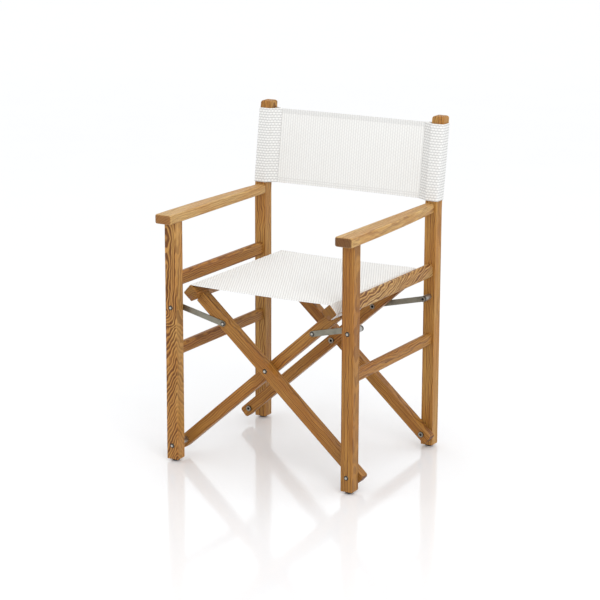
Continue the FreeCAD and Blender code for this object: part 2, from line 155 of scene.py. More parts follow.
class CanvasSettings(bpy.types.PropertyGroup):
    thickness: bpy.props.FloatProperty(
        name="Thickness", description="Thickness of the coated mesh", default=0.8 * MM,
        unit="LENGTH", subtype="DISTANCE")
    hem: bpy.props.FloatProperty(
        name="Hem", description="Width of the folded hems", default=16 * MM,
        unit="LENGTH", subtype="DISTANCE")
    column_pitch: bpy.props.FloatProperty(
        name="Column pitch", description="Spacing of the knitted columns", default=7.0 * MM,
        unit="LENGTH", subtype="DISTANCE")
    bead_pitch: bpy.props.FloatProperty(
        name="Bead pitch", description="Spacing of the beads along a column",
        default=9.0 * MM, unit="LENGTH", subtype="DISTANCE")
    stitch_pitch: bpy.props.FloatProperty(
        name="Stitch pitch", description="Spacing of the stitches", default=4.2 * MM,
        unit="LENGTH", subtype="DISTANCE")
    swell: bpy.props.FloatProperty(
        name="Swell", description="How far the sleeves stand off the middle of the post's faces",
        default=1.3 * MM, unit="LENGTH", subtype="DISTANCE")
    seat_sag: bpy.props.FloatProperty(
        name="Seat sag", description="How far the empty seat hangs in the middle",
        default=2.5 * MM, unit="LENGTH", subtype="DISTANCE")
    yarn: bpy.props.FloatVectorProperty(
        name="Yarn", description="Colour of the coated yarn", default=(0.87, 0.87, 0.85),
        size=3, subtype="COLOR")
    # painted shade: the colour that the low places between the yarns are darkened to
    gap_shade: bpy.props.FloatVectorProperty(
        name="Gaps", description="Colour in the gaps between the yarns",
        default=(0.42, 0.42, 0.42), size=3, subtype="COLOR")
    thread: bpy.props.FloatVectorProperty(
        name="Thread", description="Colour of the sewing thread", default=(0.80, 0.79, 0.77),
        size=3, subtype="COLOR")


class FittingSettings(bpy.types.PropertyGroup):
    link_steel: bpy.props.FloatVectorProperty(
        name="Link steel", description="Dull plated flat steel", default=(0.27, 0.255, 0.205),
        size=3, subtype="COLOR")
    bolt_steel: bpy.props.FloatVectorProperty(
        name="Bolt steel", description="Bright nickel of bolts and nuts",
        default=(0.58, 0.55, 0.50), size=3, subtype="COLOR")
    nut_steel: bpy.props.FloatVectorProperty(
        name="Nut steel", description="Darker nickel of the barrel nuts, sunk in the wood",
        default=(0.27, 0.24, 0.20), size=3, subtype="COLOR")
    zinc: bpy.props.FloatVectorProperty(
        name="Zinc", description="Plated screws and nails", default=(0.45, 0.44, 0.42),
        size=3, subtype="COLOR")
    plastic: bpy.props.FloatVectorProperty(
        name="Glide plastic", description="Black moulded glides", default=(0.018, 0.018, 0.02),
        size=3, subtype="COLOR")
    dowel: bpy.props.FloatVectorProperty(
        name="Dowel wood", description="Pale beech of the dowels", default=(0.60, 0.40, 0.22),
        size=3, subtype="COLOR")


class StudioSettings(bpy.types.PropertyGroup):
    azimuth: bpy.props.FloatProperty(
        name="Azimuth", description="Camera's turn from the front to the chair's left arm",
        default=radians(29.797), unit="ROTATION", subtype="ANGLE")
    elevation: bpy.props.FloatProperty(
        name="Elevation", description="Camera's height over the horizon",
        default=radians(14.177), unit="ROTATION", subtype="ANGLE")
    roll: bpy.props.FloatProperty(
        name="Roll", description="Camera's turn about its own axis", default=radians(0.19),
        unit="ROTATION", subtype="ANGLE")
    distance: bpy.props.FloatProperty(
        name="Distance", description="Camera to the point that it looks at", default=5.67,
        unit="LENGTH", subtype="DISTANCE")
    aim: bpy.props.FloatVectorProperty(
        name="Aim", description="Point that the camera looks at", default=(-0.0115, -0.0047, 0.4232),
        size=3, subtype="XYZ")
    lens: bpy.props.FloatProperty(
        name="Lens", description="Focal length on a 36 mm sensor", default=128.3)
    floor_tone: bpy.props.FloatVectorProperty(
        name="Floor", description="Pale floor", default=(0.885, 0.895, 0.91), size=3, subtype="COLOR")
    daylight: bpy.props.FloatProperty(
        name="Daylight", description="Strength of the white surround", default=1.0, min=0)
    key_power: bpy.props.FloatProperty(
        name="Key light", description="Power of the large light over the chair's left",
        default=42.0, min=0, unit="POWER")
    top_power: bpy.props.FloatProperty(
        name="Top light", description="Power of the light overhead", default=6.0, min=0, unit="POWER")


# ---- node trees ----

class Recipe:
    """A material under construction: each call adds a node and returns its output."""

    def __init__(self, name):
        self.material = bpy.data.materials.new(name)
        self.material.use_nodes = True
        self.tree = self.material.node_tree
        self.tree.nodes.clear()
        self.shader = self.node("ShaderNodeBsdfPrincipled")
        output = self.node("ShaderNodeOutputMaterial")
        self.tree.links.new(self.shader.outputs["BSDF"], output.inputs["Surface"])

    def node(self, kind, **settings):
        made = self.tree.nodes.new(kind)
        for key, value in settings.items():
            setattr(made, key, value)
        return made

    def feed(self, socket, value):
        if isinstance(value, bpy.types.NodeSocket):
            self.tree.links.new(value, socket)
        else:
            socket.default_value = value

    def math(self, operation, first, second=None, third=None):
        made = self.node("ShaderNodeMath", operation=operation)
        for socket, value in zip(made.inputs, (first, second, third)):
            if value is not None:
                self.feed(socket, value)
        return made.outputs[0]

    def distance(self, first, second):
        """Length of the vector with these two components."""
        squares = [self.math("POWER", value, 2.0) for value in (first, second)]
        return self.math("SQRT", self.math("ADD", *squares))

    def coordinates(self, output="Object"):
        return self.node("ShaderNodeTexCoord").outputs[output]

    def mapped(self, vector, location=(0, 0, 0), rotation=(0, 0, 0), scale=(1, 1, 1)):
        made = self.node("ShaderNodeMapping")
        self.feed(made.inputs["Vector"], vector)
        made.inputs["Location"].default_value = location
        made.inputs["Rotation"].default_value = rotation
        made.inputs["Scale"].default_value = scale
        return made.outputs[0]

    def split(self, vector):
        made = self.node("ShaderNodeSeparateXYZ")
        self.feed(made.inputs[0], vector)
        return made.outputs

    def noise(self, vector, scale=1.0, detail=2.0, rough=0.5):
        made = self.node("ShaderNodeTexNoise")
        self.feed(made.inputs["Vector"], vector)
        made.inputs["Scale"].default_value = scale
        made.inputs["Detail"].default_value = detail
        made.inputs["Roughness"].default_value = rough
        return made.outputs["Fac"]

    def span(self, value, low, high, to_low=0.0, to_high=1.0, smooth=True):
        """value carried from low..high to to_low..to_high and held there outside."""
        made = self.node("ShaderNodeMapRange", interpolation_type="SMOOTHSTEP" if smooth else "LINEAR")
        for name, number in (("Value", value), ("From Min", low), ("From Max", high),
                             ("To Min", to_low), ("To Max", to_high)):
            self.feed(made.inputs[name], number)
        return made.outputs[0]

    def facing(self, normal, way):
        """How squarely a surface looks along a vector, forwards or backwards, from 0 to 1."""
        made = self.node("ShaderNodeVectorMath", operation="DOT_PRODUCT")
        self.feed(made.inputs[0], normal)
        made.inputs[1].default_value = way
        return self.math("ABSOLUTE", made.outputs["Value"])

    def blend(self, share, first, second, mode="MIX"):
        made = self.node("ShaderNodeMix", data_type="RGBA", blend_type=mode)
        self.feed(made.inputs[0], share)
        for socket, value in ((made.inputs[6], first), (made.inputs[7], second)):
            self.feed(socket, value if isinstance(value, bpy.types.NodeSocket) else (*value, 1.0))
        return made.outputs[2]

    def bump(self, height, distance, strength=1.0):
        made = self.node("ShaderNodeBump")
        self.feed(made.inputs["Height"], height)
        made.inputs["Distance"].default_value = distance
        made.inputs["Strength"].default_value = strength
        self.tree.links.new(made.outputs[0], self.shader.inputs["Normal"])

    def finish(self, colour, roughness, **constants):
        """Links colour and roughness; the other shader sockets are set to constants."""
        value = colour if isinstance(colour, bpy.types.NodeSocket) else (*colour, 1.0)
        self.feed(self.shader.inputs["Base Color"], value)
        self.feed(self.shader.inputs["Roughness"], roughness)
        for name, number in constants.items():
            socket = name.replace("_", " ").title().replace("Ior", "IOR")
            self.shader.inputs[socket].default_value = number
        return self.material


def timber(name, centre, along, pith, pitch, wander, light, dark, contrast,
           swerve=(), calm=None, ends=None):
    """Oiled timber. The grain runs along a vector; pith is the heart of the tree from the centre.

    Rings are the fraction of distance from the heart over pitch, bent by slow noise, each of its
    own strength and darkest from two thirds to four fifths of its width. swerve is a list of
    (low, high, x, y): between those places along the grain the heart moves by x and y, which
    slants and arches the figure. Fibres and pores are noise drawn out along the grain. On faces
    that look along the vector calm the rings are faint. Faces cut across the grain are multiplied
    by the colour ends.
    """
    wood = Recipe(name)
    along = Vector(along).normalized()
    turn = along.rotation_difference(Vector((0, 0, 1))).to_euler()
    heart = Vector(centre) + Vector(pith)
    heart.rotate(turn)
    spot = wood.mapped(wood.coordinates(), -heart, turn)
    x, y, z = wood.split(spot)
    for low, high, shift_x, shift_y in swerve:
        share = wood.span(z, low, high, smooth=False)
        x = wood.math("MULTIPLY_ADD", share, -shift_x, x)
        y = wood.math("MULTIPLY_ADD", share, -shift_y, y)
    slow = wood.mapped(spot, scale=(7, 7, 4.5))
    drift_x = wood.math("MULTIPLY_ADD", wood.noise(slow, detail=1.5), 2 * wander, x)
    drift_y = wood.math("MULTIPLY_ADD", wood.noise(slow, scale=1.7), 2 * wander, y)
    reach = wood.distance(drift_x, drift_y)
    ripple = wood.noise(wood.mapped(spot, scale=(40, 40, 26)), detail=1.0)
    years = wood.math("DIVIDE", wood.math("MULTIPLY_ADD", ripple, wander, reach), pitch)
    ring = wood.math("FRACT", years)
    own = wood.node("ShaderNodeTexWhiteNoise", noise_dimensions="1D")
    wood.feed(own.inputs["W"], wood.math("FLOOR", years))
    late = wood.math("MULTIPLY", wood.span(ring, 0.10, 0.66), wood.span(ring, 0.82, 1.0, 1.0, 0.0))
    late = wood.math("MULTIPLY", late, wood.span(own.outputs["Value"], 0.0, 1.0, 0.45, 1.1))
    fibre = wood.noise(wood.mapped(spot, scale=(520, 520, 8)), detail=3.0, rough=0.62)
    pore = wood.span(wood.noise(wood.mapped(spot, scale=(1500, 1500, 60)), detail=1.0), 0.60, 0.70)
    patch = wood.noise(wood.mapped(spot, scale=(26, 26, 5)), detail=3.0)
    share = wood.math("MULTIPLY", wood.span(fibre, 0.30, 0.70, 0.6, 1.15), late)
    share = wood.math("MULTIPLY", share, contrast)
    normal = wood.coordinates("Normal")
    if calm:
        share = wood.math("MULTIPLY", share, wood.span(wood.facing(normal, calm), 0.5, 0.9, 1.0, 0.40))
    body = wood.blend(share, light, dark)
    body = wood.blend(wood.span(fibre, 0.36, 0.60, 0.0, 0.8), body, (0.72, 0.66, 0.60), "MULTIPLY")
    body = wood.blend(wood.math("MULTIPLY", pore, 0.4), body, (0.45, 0.36, 0.30), "MULTIPLY")
    body = wood.blend(wood.span(patch, 0.36, 0.66, 0.0, 1.0), body, (0.92, 0.80, 0.66), "MULTIPLY")
    cut = wood.span(wood.facing(normal, along), 0.45, 0.85)
    body = wood.blend(cut, body, ends or bpy.context.scene.chair_timber.cut_ends, "MULTIPLY")
    height = wood.math("SUBTRACT", wood.math("MULTIPLY_ADD", late, 0.5, fibre), pore)
    wood.bump(height, 0.35 * MM, 0.5)
    return wood.finish(body, wood.span(fibre, 0.3, 0.7, 0.38, 0.58), specular_ior_level=0.30)


def canvas_cloth(name, ribs, depth, beading, slant=0.0, double=None, seams=()):
    """Coated mesh on the piece's own UV map, which is in metres across and up.

    Columns are a cosine across. Beads are a cosine up times a cosine of half the columns' speed,
    so that they stand in staggered rows, and beading is their share of the relief. With ribs the
    two directions change places. The low places of the relief are painted dark as shade in the
    gaps between the yarns: depth says how dark that painted shade is, and slant how far the
    columns lean. double is the stretch (low, high) up the cloth that lies over a hem, and seams
    are heights where stitching draws the cloth in to a fine valley, painted as a thin line of
    shade.
    """
    settings = bpy.context.scene.chair_canvas
    cloth = Recipe(name)
    across, up, _ = cloth.split(cloth.coordinates("UV"))
    turn = 2 * pi
    first, second = (up, across) if ribs else (across, up)
    if slant:
        first = cloth.math("MULTIPLY_ADD", second, slant, first)
    columns = cloth.math("COSINE", cloth.math("MULTIPLY", first, turn / settings.column_pitch))
    stagger = cloth.math("COSINE", cloth.math("MULTIPLY", first, pi / settings.column_pitch))
    beads = cloth.math("COSINE", cloth.math("MULTIPLY", second, turn / settings.bead_pitch))
    cells = cloth.math("MULTIPLY", stagger, beads)
    weft = cloth.math("SINE", cloth.math("MULTIPLY", up, turn / (0.9 * MM)))
    warp = cloth.math("SINE", cloth.math("MULTIPLY", across, turn / (1.1 * MM)))
    yarns = cloth.math("ADD", cloth.math("MULTIPLY", weft, 0.06), cloth.math("MULTIPLY", warp, 0.05))
    relief = cloth.math("MULTIPLY_ADD", cells, beading, yarns)
    relief = cloth.math("MULTIPLY_ADD", columns, 1 - beading, relief)
    worn = cloth.noise(cloth.mapped(cloth.coordinates(), scale=(9, 9, 6)), detail=3.0)
    # painted shade: the lower the relief, the nearer the colour comes to the gap colour
    shade = cloth.span(relief, -0.9, 0.6, depth, 0.0)
    # painted shade: a thin dark line along each stitched valley
    for place in seams:
        away = cloth.math("ABSOLUTE", cloth.math("SUBTRACT", up, place))
        shade = cloth.math("MAXIMUM", shade, cloth.span(away, 0.5 * MM, 1.9 * MM, 0.34, 0.0))
    colour = cloth.blend(shade, settings.yarn, settings.gap_shade)
    colour = cloth.blend(cloth.span(worn, 0.4, 0.75, 0.0, 0.10), colour, (0.86, 0.85, 0.82), "MULTIPLY")
    if double:
        over = cloth.math("MULTIPLY", cloth.span(up, double[0], double[0] + MM),
                          cloth.span(up, double[1] - MM, double[1], 1.0, 0.0))
        colour = cloth.blend(cloth.math("MULTIPLY", over, 0.7), colour, (0.86, 0.86, 0.865), "MULTIPLY")
    cloth.bump(relief, 0.45 * MM, 0.7)
    return cloth.finish(colour, cloth.span(relief, -1, 1, 0.72, 0.52),
                        specular_ior_level=0.35, sheen_weight=0.12)


def thread_yarn(name, tone):
    """Twisted sewing thread: fine slanting lines from a sine over object coordinates, whose low places are
    painted grey as shade between the twists.
    """
    yarn = Recipe(name)
    x, y, z = yarn.split(yarn.coordinates())
    slant = yarn.math("ADD", yarn.math("ADD", x, y), z)
    twist = yarn.math("SINE", yarn.math("MULTIPLY", slant, 2 * pi / (0.5 * MM)))
    yarn.bump(twist, 0.08 * MM)
    # painted shade: the twist's low places are darkened towards grey
    return yarn.finish(yarn.blend(yarn.span(twist, -1, 1, 0.25, 0), tone, (0.5, 0.5, 0.5)), 0.65)


def plated_steel(name, tone, low, high, grain, scale=(500, 500, 500), socket=None, rim_painted_shade=0.0):
    """Plated steel: brushing is noise drawn out by scale; stains are slow noise.

    socket is (x, z, radius) of the key sockets along Y; a near-black disc is painted inside
    them as the shade deep in a socket. The rim strength says how dark a painted dark reflection
    and shade is where a head turns away from its own axis, which is Y.
    """
    steel = Recipe(name)
    spot = steel.coordinates()
    brushed = steel.noise(steel.mapped(spot, scale=scale), detail=3.0)
    stain = steel.noise(spot, scale=60.0, detail=3.0)
    colour = steel.blend(steel.span(stain, 0.35, 0.7, 0.0, 0.5), tone, [0.6 * part for part in tone])
    # painted dark reflection and shade: heads turn near black where they turn away from their own axis, at
    # the rim
    if rim_painted_shade:
        facing = steel.facing(steel.coordinates("Normal"), (0, 1, 0))
        colour = steel.blend(steel.span(facing, 0.86, 0.995, rim_painted_shade, 0.0), colour, (0.03, 0.025, 0.02))
    # painted shade: a near-black disc stands for the shade deep inside each key socket
    if socket:
        x, _, z = steel.split(spot)
        far = steel.distance(steel.math("SUBTRACT", x, socket[0]), steel.math("SUBTRACT", z, socket[1]))
        inside = steel.span(far, socket[2] - 0.1 * MM, socket[2] + 0.1 * MM, 1.0, 0.0)
        colour = steel.blend(inside, colour, (0.004, 0.004, 0.004))
    steel.bump(brushed, grain)
    return steel.finish(colour, steel.span(brushed, 0.3, 0.7, low, high), metallic=1.0)


def moulded_plastic(name, tone):
    """Black moulded plastic with a fine spark-eroded grain and dusty patches."""
    plastic = Recipe(name)
    spot = plastic.coordinates()
    grain = plastic.noise(spot, scale=2600.0, detail=2.0)
    dust = plastic.noise(spot, scale=90.0, detail=3.0)
    colour = plastic.blend(plastic.span(dust, 0.5, 0.8, 0.0, 0.3), tone, (0.12, 0.11, 0.10))
    plastic.bump(grain, 0.08 * MM)
    return plastic.finish(colour, plastic.span(dust, 0.3, 0.7, 0.38, 0.55))


def paint(node, material):
    """Gives a CAD node its material in every slot."""
    for place in NODES[node].material_slots:
        place.material = material


# ---- surfaces ----

def surface(name, points, uv=None):
    """A mesh on a grid of points, rows by columns by three, with uv the places across and up."""
    rows, columns = points.shape[:2]
    index = np.arange(rows * columns).reshape(rows, columns)
    quads = np.stack([index[:-1, :-1], index[1:, :-1], index[1:, 1:], index[:-1, 1:]], -1).reshape(-1, 4)
    mesh = bpy.data.meshes.new(name)
    mesh.from_pydata(points.reshape(-1, 3).tolist(), [], quads.tolist())
    if uv is not None:
        layer = mesh.uv_layers.new(name="cloth")
        places = np.stack(np.meshgrid(*uv, indexing="ij"), -1)
        corners = np.stack([places[:-1, :-1], places[1:, :-1], places[1:, 1:], places[:-1, 1:]], 2)
        layer.data.foreach_set("uv", corners.reshape(-1).astype(np.float32))
    return mesh_object(name, mesh)


def mesh_object(name, mesh):
    """A smooth-shaded object at the origin that holds the mesh."""
    mesh.polygons.foreach_set("use_smooth", np.ones(len(mesh.polygons), bool))
    mesh.update()
    piece = bpy.data.objects.new(name, mesh)
    bpy.context.scene.collection.objects.link(piece)
    return piece


def thicken(piece, thickness):
    """Gives a cloth surface its thickness, half to each side, with closed edges."""
    wall = piece.modifiers.new("Thickness", "SOLIDIFY")
    wall.thickness = thickness
    wall.offset = 0.0
    wall.use_even_offset = True
    wall.use_quality_normals = True


def arc(centre, radius, start, end, steps=TURN_STEPS):
    """Points of a circle's arc from one angle to another."""
    angle = np.linspace(start, end, steps)
    return np.stack([centre[0] + radius * np.cos(angle), centre[1] + radius * np.sin(angle)], -1)


def rounded(corners, radius, steps=6):
    """A closed outline through corners, each rounded by a quadratic curve.

    The curve runs between the places where a circle of the radius would touch the corner's two
    sides, with the corner itself as its control point.
    """
    corners = np.asarray(corners, float)
    before = units(np.roll(corners, 1, 0) - corners)
    after = units(np.roll(corners, -1, 0) - corners)
    half = np.arccos(np.clip((before * after).sum(1), -1, 1)) / 2
    setback = (radius / np.tan(half))[:, None]
    start, end = corners + before * setback, corners + after * setback
    share = np.linspace(0, 1, steps)[None, :, None]
    curve = ((1 - share) ** 2 * start[:, None] + 2 * share * (1 - share) * corners[:, None]
             + share ** 2 * end[:, None])
    return curve.reshape(-1, 2)


def lengths(points):
    """How far along an open line each of its points lies."""
    return np.concatenate([[0], np.cumsum(np.linalg.norm(np.diff(points, axis=0), axis=1))])


def units(vectors):
    """Rows of vectors, each divided by its length."""
    return vectors / np.linalg.norm(vectors, axis=1, keepdims=True)


def resampled(points, step):
    """The same open line with its long stretches divided into equal parts of about one step."""
    along = lengths(points)
    parts = np.maximum(1, np.round(np.diff(along) / step))
    ends = np.concatenate([[0], np.cumsum(parts)])
    places = np.interp(np.arange(ends[-1] + 1), ends, along)
    return np.stack([np.interp(places, along, column) for column in points.T], -1), places


def stitches(name, centres, way, out, width=STITCH_WIDTH, lift=STITCH_LIFT, sides=6, rings=3):
    """A row of stitches, each an ellipsoid.

    It is cos(a) times half its length along way, plus sin(a) times a ring that is half its width
    to the sides and lift outwards. centres, way and out are arrays of equal length: place,
    direction of sewing, surface normal.
    """
    length = STITCH_SHARE * bpy.context.scene.chair_canvas.stitch_pitch
    bend = np.linspace(0, pi, rings + 2)[1:-1, None]
    spin = np.linspace(0, 2 * pi, sides, endpoint=False)[None, :]
    run, ring = np.cos(bend) * np.ones_like(spin), np.sin(bend)
    local = np.stack([run * length / 2, ring * np.cos(spin) * width / 2, ring * np.sin(spin) * lift], -1)
    poles = np.array([[length / 2, 0, 0], [-length / 2, 0, 0]])
    local = np.vstack([local.reshape(-1, 3), poles])
    basis = np.stack([way, np.cross(way, out), out], 1)
    points = centres[:, None, :] + local[None] @ basis
    each = len(local)
    turn = np.arange(sides)
    following = (turn + 1) % sides
    last = sides * (rings - 1)
    bands = [np.stack([row + turn, row + following, row + sides + following, row + sides + turn], -1)
             for row in range(0, last, sides)]
    caps = np.vstack([np.stack([np.full(sides, each - 2), following, turn], -1),
                      np.stack([np.full(sides, each - 1), last + turn, last + following], -1)])
    shift = (np.arange(len(centres)) * each)[:, None, None]
    faces = ((np.vstack(bands)[None] + shift).reshape(-1, 4).tolist()
             + (caps[None] + shift).reshape(-1, 3).tolist())
    mesh = bpy.data.meshes.new(name)
    mesh.from_pydata(points.reshape(-1, 3).tolist(), [], faces)
    return mesh_object(name, mesh)


def along_line(start, end, pitch):
    """Places a pitch apart from start to end, and the unit vector between them."""
    start, end = np.asarray(start, float), np.asarray(end, float)
    long = np.linalg.norm(end - start)
    count = max(2, int(long / pitch))
    share = (np.arange(count) + 0.5)[:, None] / count
    way = np.repeat(((end - start) / long)[None], count, 0)
    return start + share * (end - start), way


def joined(rows):
    """Rows of stitches, each (places, ways, normals), put end to end."""
    return [np.vstack(part) for part in zip(*rows)]


def sewn_row(start, end, pitch, way_out):
    """A straight row of stitches on the front (-1) or rear (1) face of an upright cloth."""
    places, way = along_line(start, end, pitch)
    return places, way, np.tile((0.0, way_out, 0.0), (len(places), 1))


# ---- seat ----

def fold_radius(settings):
    """Radius at which the canvas folds back on itself in a hem."""
    return 0.55 * settings.thickness


def seat_section(settings):
    """Right half of the seat's section: from the groove, round the rail and flat to the middle.

    Straight runs lie on two of the rail's faces; arcs are centred on the rail's rounded corners. The
    flat run sags by a parabola.
    """
    half = (size("seat_rail_right").z / 2 - RAIL_EASE) / (sin(SLOPE) + cos(SLOPE)) + RAIL_EASE
    lift = CLEAR + settings.thickness / 2
    across = np.array([cos(SLOPE), sin(SLOPE)])
    upward = np.array([-sin(SLOPE), cos(SLOPE)])
    axis = np.array([RAIL.x, RAIL.z])
    inner = half - RAIL_EASE
    radius = RAIL_EASE + lift
    lower_corner = axis + inner * across - inner * upward
    upper_corner = axis + inner * across + inner * upward
    slot = axis - GROOVE_BACK * across
    under = slot - (half + lift) * upward
    lip = arc(under + LIP * (across + upward), LIP, SLOPE - pi, SLOPE - pi / 2)
    lower = arc(lower_corner, radius, SLOPE - pi / 2, SLOPE)
    upper = arc(upper_corner, radius, SLOPE, pi / 2)
    edge = upper[-1]
    flat = np.linspace(edge[0], 0, 26)[1:]
    sag = settings.seat_sag * (1 - (flat / edge[0]) ** 2)
    top = np.stack([flat, edge[1] - sag], -1)
    return np.vstack([slot - GROOVE_DEPTH * upward, under + LIP * upward, lip[1:], lower, upper, top])


class CHAIR_OT_seat(bpy.types.Operator):
    """Seat canvas drawn over both rails and into their grooves, with hems and stitching"""
    bl_idname = "chair.seat"
    bl_label = "Seat Canvas"

    def execute(self, context):
        settings = context.scene.chair_canvas
        low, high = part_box("seat_canvas")
        half = seat_section(settings)
        section, across = resampled(np.vstack([half, half[-2::-1] * (-1, 1)]), 8 * MM)
        front, rear = low.y + MM, high.y - MM
        hem, fold = settings.hem, fold_radius(settings)
        # Along Y the cloth runs rearward and turns under at both ends into a hem.
        turn = arc((0, 0), fold, pi / 2, 1.5 * pi, 6)
        front_turn = turn + (front + fold, -fold)
        rear_turn = turn[::-1] * (-1, 1) + (rear - fold, -fold)
        inside = np.linspace(front + fold + MM, rear - fold - MM, 60)
        top = np.stack([inside, np.zeros_like(inside)], -1)
        run = np.vstack([(front + hem, -2 * fold), front_turn[::-1], top, rear_turn[::-1],
                         (rear - hem, -2 * fold)])
        along = lengths(run)
        # Normal of the section, pointing away from the rails.
        tangent = units(np.gradient(section, axis=0))
        normal = np.stack([tangent[:, 1], -tangent[:, 0]], -1)
        # Fine puckers repeat along Y, strong over the rails and nothing in the middle.
        pull = np.clip(np.abs(section[:, 0]) / RAIL.x, 0, 1)[:, None]
        pucker = 0.35 * MM * np.sin(2 * pi * run[None, :, 0] / (31 * MM) + 9 * section[:, :1]) * pull ** 6
        depth = run[None, :, 1] + pucker
        points = np.stack([
            section[:, None, 0] + normal[:, None, 0] * depth,
            np.broadcast_to(run[None, :, 0], depth.shape),
            section[:, None, 1] + normal[:, None, 1] * depth,
        ], -1)
        cloth = surface("seat_cloth", points, (across, along))
        thicken(cloth, settings.thickness)
        cloth.data.materials.append(canvas_cloth("seat mesh", False, 0.42, 0.3, slant=-0.5))
        above = section[np.abs(section[:, 0]) < RAIL.x + 12 * MM]
        line = resampled(above, settings.stitch_pitch)[0]
        way = units(np.gradient(line, axis=0))
        level = np.zeros(len(line))
        ways = np.stack([way[:, 0], level, way[:, 1]], -1)
        outs = np.stack([way[:, 1], level, -way[:, 0]], -1)
        rows = []
        for edge, outward in ((front + hem, -1), (rear - hem, 1)):
            for off in (3 * MM, 6 * MM):
                spots = np.stack([line[:, 0], level + edge + outward * off, line[:, 1]], -1)
                rows.append((spots + outs * settings.thickness / 2, ways, outs))
        seams = stitches("seat_stitches", *joined(rows))
        seams.data.materials.append(thread_yarn("seat thread", settings.thread))
        for piece in (cloth, seams):
            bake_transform(piece)
        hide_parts("seat_canvas")
        return {"FINISHED"}


# ---- back ----

PANEL_SOLID = 1.6 * MM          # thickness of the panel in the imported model
LEAN = (size("back_panel").y - PANEL_SOLID) / size("back_panel").z


def back_plane(z):
    """Y of the middle plane of posts and back canvas at height z."""
    centre = middle("back_panel")
    return centre.y + LEAN * (z - centre.z)


def back_bow(x, z):
    """How far the back panel hangs behind its plane.

    Slack is a parabola across, less at mid-height by a sine. A ripple, a sine across, grows with
    the fourth power of the height.
    """
    across = np.clip(1 - (x / SEAM) ** 2, 0, 1)
    share = (z - PANEL_LOW.z) / size("back_panel").z
    slack = 3 * MM * (1 - 0.55 * np.sin(pi * np.clip(share, 0, 1)))
    ripple = 0.5 * MM * np.sin(2 * pi * x / (83 * MM)) * share ** 4
    return across * (slack + ripple)


def back_rise(settings):
    """The way up the back canvas with a hem folded to the rear at both ends.

    It is a line of (offset to the rear, height), with how far along it each point lies.
    """
    fold, bottom, top = fold_radius(settings), PANEL_LOW.z, PANEL_HIGH.z
    low_turn = arc((fold, bottom + fold), fold, 2 * pi, pi)
    high_turn = arc((fold, top - fold), fold, pi, 0)
    rise = np.linspace(bottom + fold, top - fold, int((top - bottom) / (3.5 * MM)))[1:-1]
    line = np.vstack([(2 * fold, bottom + settings.hem), low_turn,
                      np.stack([np.zeros_like(rise), rise], -1),
                      high_turn, (2 * fold, top - settings.hem)])
    return line, lengths(line)


class CHAIR_OT_back_sleeves(bpy.types.Operator):
    """Ribbed canvas sleeves round both rear posts, sewn to a line beside the post"""
    bl_idname = "chair.back_sleeves"
    bl_label = "Back Sleeves"

    def execute(self, context):
        settings = context.scene.chair_canvas
        rise, heights = back_rise(settings)
        gap = 0.4 * MM + 1.7 * settings.thickness       # from the post to the middle of the cloth
        tip = 0.7 * settings.thickness                  # half the way between the layers at the seam
        post_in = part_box("front_leg_left")[1].x
        half_deep = size("front_leg_left").y / 2 + gap
        # Plan of the sleeve about the post's middle plane, from the seam round the post and back.
        plan = rounded([(post_in + gap, -half_deep), (POST_OUT - gap, -half_deep),
                        (POST_OUT - gap, half_deep), (post_in + gap, half_deep)], SLEEVE_CORNER)
        plan, along = resampled(np.vstack([[(-SEAM, -tip)], plan, [(-SEAM, tip)]]), 4 * MM)
        # Between the post's corners the cloth stands off by a parabola.
        centre = np.array([(post_in + POST_OUT) / 2, 0])
        share = (plan - centre) / ((post_in - POST_OUT) / 2 + gap, half_deep)
        on_face = np.abs(share) > 0.9
        swell = settings.swell * np.clip(1 - share[:, ::-1] ** 2, 0, 1) * np.sign(share) * on_face
        swell[:, 0] *= share[:, 0] < 0
        plan = plan + swell
        way = units(np.gradient(plan, axis=0))
        inward = np.stack([way[:, 1], -way[:, 0]], -1)
        inward *= np.sign(((centre - plan) * inward).sum(1))[:, None]
        # Ribs go round the sleeve, but not where its hems turn back.
        rib = RIB_HEIGHT * np.cos(2 * pi * heights / settings.column_pitch)
        rib[:TURN_STEPS + 1] = rib[-TURN_STEPS - 1:] = 0
        offset = rise[:, 0] - rib
        points = np.stack([
            plan[:, None, 0] + inward[:, None, 0] * offset[None],
            plan[:, None, 1] + inward[:, None, 1] * offset[None] + back_plane(rise[None, :, 1]),
            np.broadcast_to(rise[None, :, 1], (len(plan), len(rise))),
        ], -1)
        cloth_look = canvas_cloth("sleeve mesh", True, 0.76, 0.5)
        thread_look = thread_yarn("sleeve thread", settings.thread)
        low, high = PANEL_LOW.z + 2 * MM, PANEL_HIGH.z - 2 * MM
        for side, mirror in (("left", 1), ("right", -1)):
            cloth = surface("sleeve_" + side, points * (mirror, 1, 1), (along, heights))
            if mirror < 0:
                cloth.data.flip_normals()
            thicken(cloth, settings.thickness)
            cloth.data.materials.append(cloth_look)
            seam_x = -mirror * (SEAM + STITCH_INSET)
            rows = []
            for way_out in (-1, 1):
                stand = way_out * (tip + STITCH_STAND)
                rows.append(sewn_row((seam_x, back_plane(PANEL_LOW.z) + stand, low),
                                     (seam_x, back_plane(PANEL_HIGH.z) + stand, high),
                                     settings.stitch_pitch, way_out))
            seams = stitches("sleeve_stitches_" + side, *joined(rows), width=0.8 * MM, lift=0.4 * MM)
            seams.data.materials.append(thread_look)
            for piece in (cloth, seams):
                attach(piece, side + "_side")
            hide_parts("back_sleeve_" + side)
        return {"FINISHED"}


